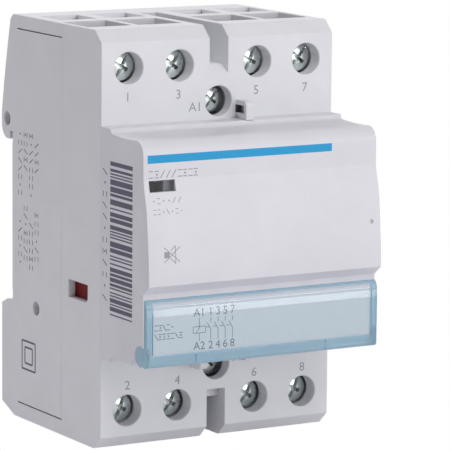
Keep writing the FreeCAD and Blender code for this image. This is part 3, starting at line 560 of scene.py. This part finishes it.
# ---- printed marks: flat shapes laid on the CAD surfaces as thin closed solids
class Side:
    """A printed side: where right, up and inwards point, and the CAD nodes that carry the ink."""

    def __init__(self, right, up, inwards, nodes):
        self.right = Vector(right)
        self.up = Vector(up)
        self.inwards = Vector(inwards)
        shapes = bpy.context.evaluated_depsgraph_get()
        self.skins = [BVHTree.FromObject(frame["nodes"][node], shapes) for node in nodes]

    def point(self, u, v):
        """Surface point under (u, v) millimetres, seen from outside."""
        outside = (self.right * u + self.up * v) * MM - self.inwards
        hits = [skin.ray_cast(outside, self.inwards) for skin in self.skins]
        distances = [hit[3] for hit in hits if hit[0] is not None]
        return outside + self.inwards * min(distances)


def bar(flat, us, vs, rows=1, columns=1):
    """Adds a rectangle of faces between two u and two v values."""
    corners = [
        [
            flat.verts.new((us[0] + (us[1] - us[0]) * i / columns, vs[0] + (vs[1] - vs[0]) * j / rows, 0))
            for i in range(columns + 1)
        ]
        for j in range(rows + 1)
    ]
    for low, high in zip(corners, corners[1:]):
        for i in range(columns):
            flat.faces.new((low[i], low[i + 1], high[i + 1], high[i]))


def stroke(flat, start, end, thick):
    """Adds a straight line of the given thickness, in short lengths that can follow a curved surface."""
    start, end = Vector(start), Vector(end)
    along = (end - start).normalized()
    across = Vector((-along.y, along.x, 0)) * thick / 2
    lengths = math.ceil((end - start).length / stroke_length)
    middles = [start.lerp(end, i / lengths).to_3d() for i in range(lengths + 1)]
    sides = [(flat.verts.new(middle - across), flat.verts.new(middle + across)) for middle in middles]
    for (near_right, near_left), (far_right, far_left) in zip(sides, sides[1:]):
        flat.faces.new((near_right, far_right, far_left, near_left))


def figures(flat, text, centre, tall):
    """Adds plain figures, such as a terminal's number, about a centre."""
    curve = bpy.data.curves.new("figures", "FONT")
    curve.body = text
    curve.align_x = "CENTER"
    curve.align_y = "CENTER"
    curve.size = tall / 0.72
    curve.resolution_u = 3
    holder = bpy.data.objects.new("figures", curve)
    mesh = bpy.data.meshes.new_from_object(holder)
    mesh.transform(Matrix.Translation((centre[0], centre[1], 0)))
    flat.from_mesh(mesh)
    bpy.data.objects.remove(holder)
    bpy.data.curves.remove(curve)
    bpy.data.meshes.remove(mesh)


def words(flat, start, long, tall, chance, spacing=1.05):
    """Adds a row of small marks without meaning that stands for a printed line."""
    u, v = start
    thin = mark_line * tall
    wide = mark_wide * tall
    while u + wide < start[0] + long:
        kind = chance.choice(("slash", "pair", "pair", "triple", "dot", "back"))
        if kind == "slash":
            stroke(flat, (u, v - tall / 2), (u + wide, v + tall / 2), thin)
        if kind == "back":
            stroke(flat, (u, v + tall / 2), (u + wide, v - tall / 2), thin)
        if kind in ("pair", "triple"):
            for level in (-mark_level, mark_level):
                bar(flat, (u, u + wide), (v + level * tall - thin / 2, v + level * tall + thin / 2))
        if kind in ("triple", "dot"):
            bar(flat, [u + share * wide for share in mark_dot], (v - thin, v + thin))
        u += spacing * tall * chance.uniform(0.85, 1.0)


def stand_upright(flat):
    """Turns rows that were laid out along u so that they run down the side instead."""
    bmesh.ops.rotate(flat, verts=flat.verts, matrix=Matrix.Rotation(math.radians(-90), 3, "Z"))


def ink(name, flat, side, material):
    """Lays a flat drawing on a side and makes it a thin closed solid that rides on the housing."""
    bmesh.ops.remove_doubles(flat, verts=flat.verts, dist=merge_within)
    for vertex in flat.verts:
        vertex.co = side.point(vertex.co.x, vertex.co.y) - side.inwards * ink_proud * MM
    flat.normal_update()
    faces = list(flat.faces)
    result = bmesh.ops.extrude_face_region(flat, geom=faces, use_keep_orig=True)
    moved = [item for item in result["geom"] if isinstance(item, bmesh.types.BMVert)]
    bmesh.ops.translate(flat, verts=moved, vec=side.inwards * (ink_proud + ink_sunk) * MM)
    bmesh.ops.recalc_face_normals(flat, faces=flat.faces)
    mesh = bpy.data.meshes.new(name)
    flat.to_mesh(mesh)
    flat.free()
    mesh.materials.append(material)
    piece = bpy.data.objects.new(name, mesh)
    bpy.context.scene.collection.objects.link(piece)
    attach(piece, housing)
    return piece


def print_nose(front, materials):
    """Blue stripe, greeked type and rating lines and the quiet-running sign on the nose."""
    left = nose_low.x
    stripe = bmesh.new()
    bar(stripe, [left + u for u in stripe_across], stripe_up, rows=4, columns=8)
    ink("nose_stripe", stripe, front, materials["blue_ink"])
    chance = random.Random(seed)
    lines = bmesh.new()
    inset, up, long, tall = type_row
    words(lines, (left + inset, up), long, tall, chance, spacing=0.9)
    for inset, up, long, tall in rating_rows:
        words(lines, (left + inset, up), long, tall, chance)
    ink("nose_lines", lines, front, materials["grey_ink"])
    ink("nose_sign", quiet_sign(left + sign_in, sign_up), front, materials["grey_ink"])


def quiet_sign(u, v):
    """A small loudspeaker crossed out: a square, the outline of a cone and two diagonals."""
    drawing = bmesh.new()
    left, right = u - sign_half, u + sign_half
    bar(drawing, (left, u + sign_box_right), (v - sign_box_half, v + sign_box_half))
    mouth_u, throat_u = u + sign_mouth, u + sign_throat
    stroke(drawing, (throat_u, v + sign_throat_half), (mouth_u, v + sign_half), sign_line)
    stroke(drawing, (throat_u, v - sign_throat_half), (mouth_u, v - sign_half), sign_line)
    stroke(drawing, (mouth_u, v - sign_half), (mouth_u, v + sign_half), sign_line)
    for rise in (-sign_cross_half, sign_cross_half):
        stroke(drawing, (left, v - rise), (right, v + rise), sign_line)
    return drawing


def shifted(middle, shift):
    """Place on the front, shift millimetres right of and above a CAD node's middle."""
    return middle.x + shift[0], middle.z + shift[1]


def print_terminal_numbers(front, materials):
    """Numbers 1 to 8 beside the poles, and A1 and A2 beside the coil terminals."""
    numbers = bmesh.new()
    for pole in range(pole_count):
        upper = middle_of(f"terminal_screw_{2 * pole + 1}")
        lower = middle_of(f"terminal_screw_{2 * pole + 2}")
        figures(numbers, str(2 * pole + 1), shifted(upper, upper_figure_shift), figure_tall)
        figures(numbers, str(2 * pole + 2), shifted(lower, (0, lower_figure_rise)), figure_tall)
    upper, lower = middle_of("coil_screw_a1"), middle_of("coil_screw_a2")
    figures(numbers, "A1", shifted(upper, coil_a1_shift), figure_tall)
    figures(numbers, "A2", shifted(lower, coil_a2_shift), figure_tall)
    ink("terminal_numbers", numbers, front, materials["grey_ink"])


def print_card(front, materials):
    """Wiring diagram of the four contacts and the coil, and two greeked lines, on the label card."""
    chance = random.Random(seed + 1)
    drawing = bmesh.new()
    left = card_low.x
    top, low = card_low.z + card_top_figures, card_low.z + card_low_figures
    for drop, long in card_rows:
        words(drawing, (left + card_words_in, top - drop), long, card_words_tall, chance, spacing=0.85)
    coil = left + coil_in
    figures(drawing, "A1", (coil, top), card_figure_tall)
    figures(drawing, "A2", (coil, low), card_figure_tall)
    box_low, box_high = top - coil_bottom, top - coil_top
    for z in (box_low, box_high):
        stroke(drawing, (coil - coil_half, z), (coil + coil_half, z), thin_line)
    for x in (coil - coil_half, coil + coil_half):
        stroke(drawing, (x, box_low), (x, box_high), thin_line)
    stroke(drawing, (coil + coil_bar_across[0], box_low), (coil + coil_bar_across[1], box_high), thin_line)
    stroke(drawing, (coil, box_high), (coil, top - figure_clear), thin_line)
    stroke(drawing, (coil, low + figure_clear), (coil, box_low), thin_line)
    for pole in range(pole_count):
        x = coil + first_pole_out + pole_pitch * pole
        figures(drawing, str(2 * pole + 1), (x, top), card_figure_tall)
        figures(drawing, str(2 * pole + 2), (x, low), card_figure_tall)
        stroke(drawing, (x, top - figure_clear), (x, top - contact_top), thin_line)
        stroke(drawing, (x, top - contact_bottom), (x - contact_lean, top - contact_top), thin_line)
        stroke(drawing, (x, low + figure_clear), (x, top - contact_bottom), thin_line)
    for dash in range(pole_count):
        x = coil + link_start + link_pitch * dash
        stroke(drawing, (x, top - link_drop), (x + link_dash, top - link_drop), thin_line)
    ink("card_drawing", drawing, front, materials["card_ink"])


def print_left_side(left_side, materials):
    """Made-up stripes, dash columns and a double-square sign on the left side."""
    chance = random.Random(seed + 2)
    stripes = bmesh.new()
    lowest, v = code_up
    while v > lowest:
        thick = chance.choice(code_bars)
        bar(stripes, code_across, (v - thick, v))
        v -= thick + chance.choice(code_gaps)
    ink("side_stripes", stripes, left_side, materials["dark_ink"])
    columns = bmesh.new()
    words(columns, column_start, column_long, column_tall, chance, spacing=1.5)
    stand_upright(columns)
    ink("side_column", columns, left_side, materials["dark_ink"])
    rows = bmesh.new()
    first_u, first_v = side_rows_start
    for row, groups in enumerate(side_row_groups):
        v = first_v + side_row_pitch * row
        for start, long in groups:
            words(rows, (first_u + start, v), long, side_mark_tall, chance, spacing=1.2)
    stand_upright(rows)
    ink("side_lines", rows, left_side, materials["dark_ink"])
    sign = bmesh.new()
    for half in square_halves:
        square(sign, square_middle, half, square_line)
    ink("side_sign", sign, left_side, materials["dark_ink"])


def square(flat, middle, half, thick):
    """Adds the outline of a square about its middle."""
    u, v = middle
    corners = [(u - half, v - half), (u + half, v - half), (u + half, v + half), (u - half, v + half)]
    for start, end in zip(corners, corners[1:] + corners[:1]):
        stroke(flat, start, end, thick)


def print_marks(materials):
    """All printed marks."""
    front = Side((1, 0, 0), (0, 0, 1), (0, 1, 0), shell_nodes)
    card_front = Side((1, 0, 0), (0, 0, 1), (0, 1, 0), ("label_card",))
    left_side = Side((0, -1, 0), (0, 0, 1), (1, 0, 0), shell_nodes)
    print_nose(front, materials)
    print_terminal_numbers(front, materials)
    print_card(card_front, materials)
    print_left_side(left_side, materials)


# ---- springs copied onto their bodies
def live_spring(node, body):
    """Stands for a CAD spring: a copy of its mesh on the given body, with the CAD node hidden."""
    piece = bpy.data.objects.new("live_" + node, frame["nodes"][node].data.copy())
    bpy.context.scene.collection.objects.link(piece)
    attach(piece, body)
    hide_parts(node)
    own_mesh(piece)


def live_springs():
    """The latch spring, the return springs and the four contact springs."""
    live_spring("latch_spring", housing)
    live_spring("return_springs", housing)
    for pole in range(1, pole_count + 1):
        live_spring(f"contact_spring_{pole}", "carrier")


# ---- room, light and camera
def pale_floor():
    """Plain pale floor just below the lowest reach of the released latch."""
    mesh = bpy.data.meshes.new("floor")
    half = floor_size / 2 * MM
    level = cad_box[0][2] - floor_gap * MM
    corners = [(-half, -half, level), (half, -half, level), (half, half, level), (-half, half, level)]
    mesh.from_pydata(corners, [], [(0, 1, 2, 3)])
    floor = bpy.data.objects.new("floor", mesh)
    bpy.context.scene.collection.objects.link(floor)
    graph = Graph("floor")
    pale = graph.add("BsdfDiffuse", {"Color": srgb(240, 240, 242)}).outputs["BSDF"]
    glow = graph.add("Emission", {"Color": srgb(255, 255, 255), "Strength": world_white}).outputs["Emission"]
    seen = graph.add("LightPath").outputs["Is Camera Ray"]
    mesh.materials.append(graph.output(graph.add("MixShader", {0: seen, 1: pale, 2: glow}).outputs[0]))


def white_world():
    """White for the camera, a pale studio in reflections and a weaker, slightly blue fill."""
    world = bpy.data.worlds.new("white")
    world.use_nodes = True
    bpy.context.scene.world = world
    tree = world.node_tree
    tree.nodes.clear()
    ray = tree.nodes.new("ShaderNodeLightPath")

    def background(strength, colour):
        node = tree.nodes.new("ShaderNodeBackground")
        node.inputs["Color"].default_value = colour
        node.inputs["Strength"].default_value = strength
        return node.outputs["Background"]

    def chosen(when, otherwise, then):
        node = tree.nodes.new("ShaderNodeMixShader")
        tree.links.new(ray.outputs[when], node.inputs[0])
        tree.links.new(otherwise, node.inputs[1])
        tree.links.new(then, node.inputs[2])
        return node.outputs[0]

    white = (1.0, 1.0, 1.0, 1.0)
    around = chosen("Is Glossy Ray", background(world_fill, fill_tint), background(world_gloss, white))
    seen = chosen("Is Camera Ray", around, background(world_white, white))
    output = tree.nodes.new("ShaderNodeOutputWorld")
    tree.links.new(seen, output.inputs["Surface"])


def softbox(name, place, size, power):
    """Square area light at place (mm) that faces the middle of the object."""
    light = bpy.data.lights.new(name, "AREA")
    light.shape = "SQUARE"
    light.size = size * MM
    light.energy = power
    lamp = bpy.data.objects.new(name, light)
    lamp.location = Vector(place) * MM
    lamp.rotation_euler = (Vector(camera_target) * MM - lamp.location).to_track_quat("-Z", "Y").to_euler()
    bpy.context.scene.collection.objects.link(lamp)


def lights():
    """Large key from the front right, a nearer one above the front and one above and behind.

    The small strip stands where the flap's sloping facet mirrors it to the camera.
    """
    softbox("key", key_place, key_size, key_power)
    softbox("strip", strip_place, strip_size, strip_power)
    softbox("front", front_place, front_size, front_power)
    softbox("top", top_place, top_size, top_power)


def place_camera():
    """Camera on its circle round the target, rolled a little."""
    azimuth, elevation = math.radians(camera_azimuth), math.radians(camera_elevation)
    back = Vector((
        math.sin(azimuth) * math.cos(elevation),
        -math.cos(azimuth) * math.cos(elevation),
        math.sin(elevation),
    ))
    right = (-back).cross(Vector((0, 0, 1))).normalized()
    up = right.cross(-back)
    roll = math.radians(camera_roll)
    rolled_right = right * math.cos(roll) + up * math.sin(roll)
    rolled_up = up * math.cos(roll) - right * math.sin(roll)
    position = (Vector(camera_target) + back * camera_distance) * MM
    data = bpy.data.cameras.new("camera")
    data.lens = camera_lens
    data.clip_start = 0.01
    camera = bpy.data.objects.new("camera", data)
    turn = Matrix((rolled_right, rolled_up, back)).transposed().to_4x4()
    camera.matrix_world = Matrix.Translation(position) @ turn
    bpy.context.scene.collection.objects.link(camera)
    bpy.context.scene.camera = camera


materials = make_materials()
dress_cad_nodes(materials)
print_marks(materials)
live_springs()
pale_floor()
white_world()
lights()
place_camera()
bpy.context.scene.view_settings.view_transform = "Standard"
